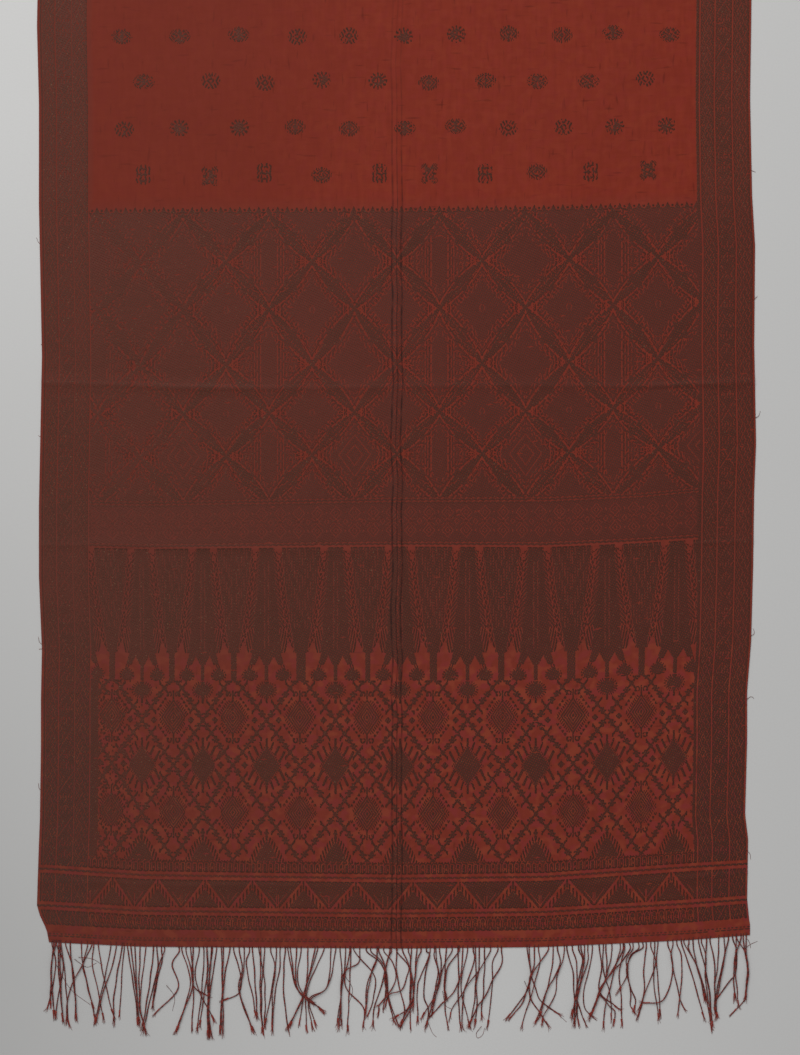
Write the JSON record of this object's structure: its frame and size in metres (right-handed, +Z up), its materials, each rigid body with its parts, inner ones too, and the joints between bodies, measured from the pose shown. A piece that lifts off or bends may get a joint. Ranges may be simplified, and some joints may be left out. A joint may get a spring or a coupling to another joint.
{
  "type": "silk shoulder cloth",
  "caption": "Flat silk shoulder cloth with a woven end panel, side borders and a twisted warp fringe at one end.",
  "frame": {"origin": "under the middle of the lying cloth and its fringe, on the surface that it lies on", "axes": "+X across the cloth to the right as seen from above, +Y along it away from the fringe, +Z up"},
  "size_m": [0.8484, 1.95, 0.0045],
  "materials": {
    "silk": "red silk ground with dull brown metal-thread pattern",
    "silk_fringe": "twisted red-brown silk warp ends"
  },
  "bodies": {
    "root": {"cloth": "silk", "fringe": "silk_fringe"}
  },
  "joints": []
}
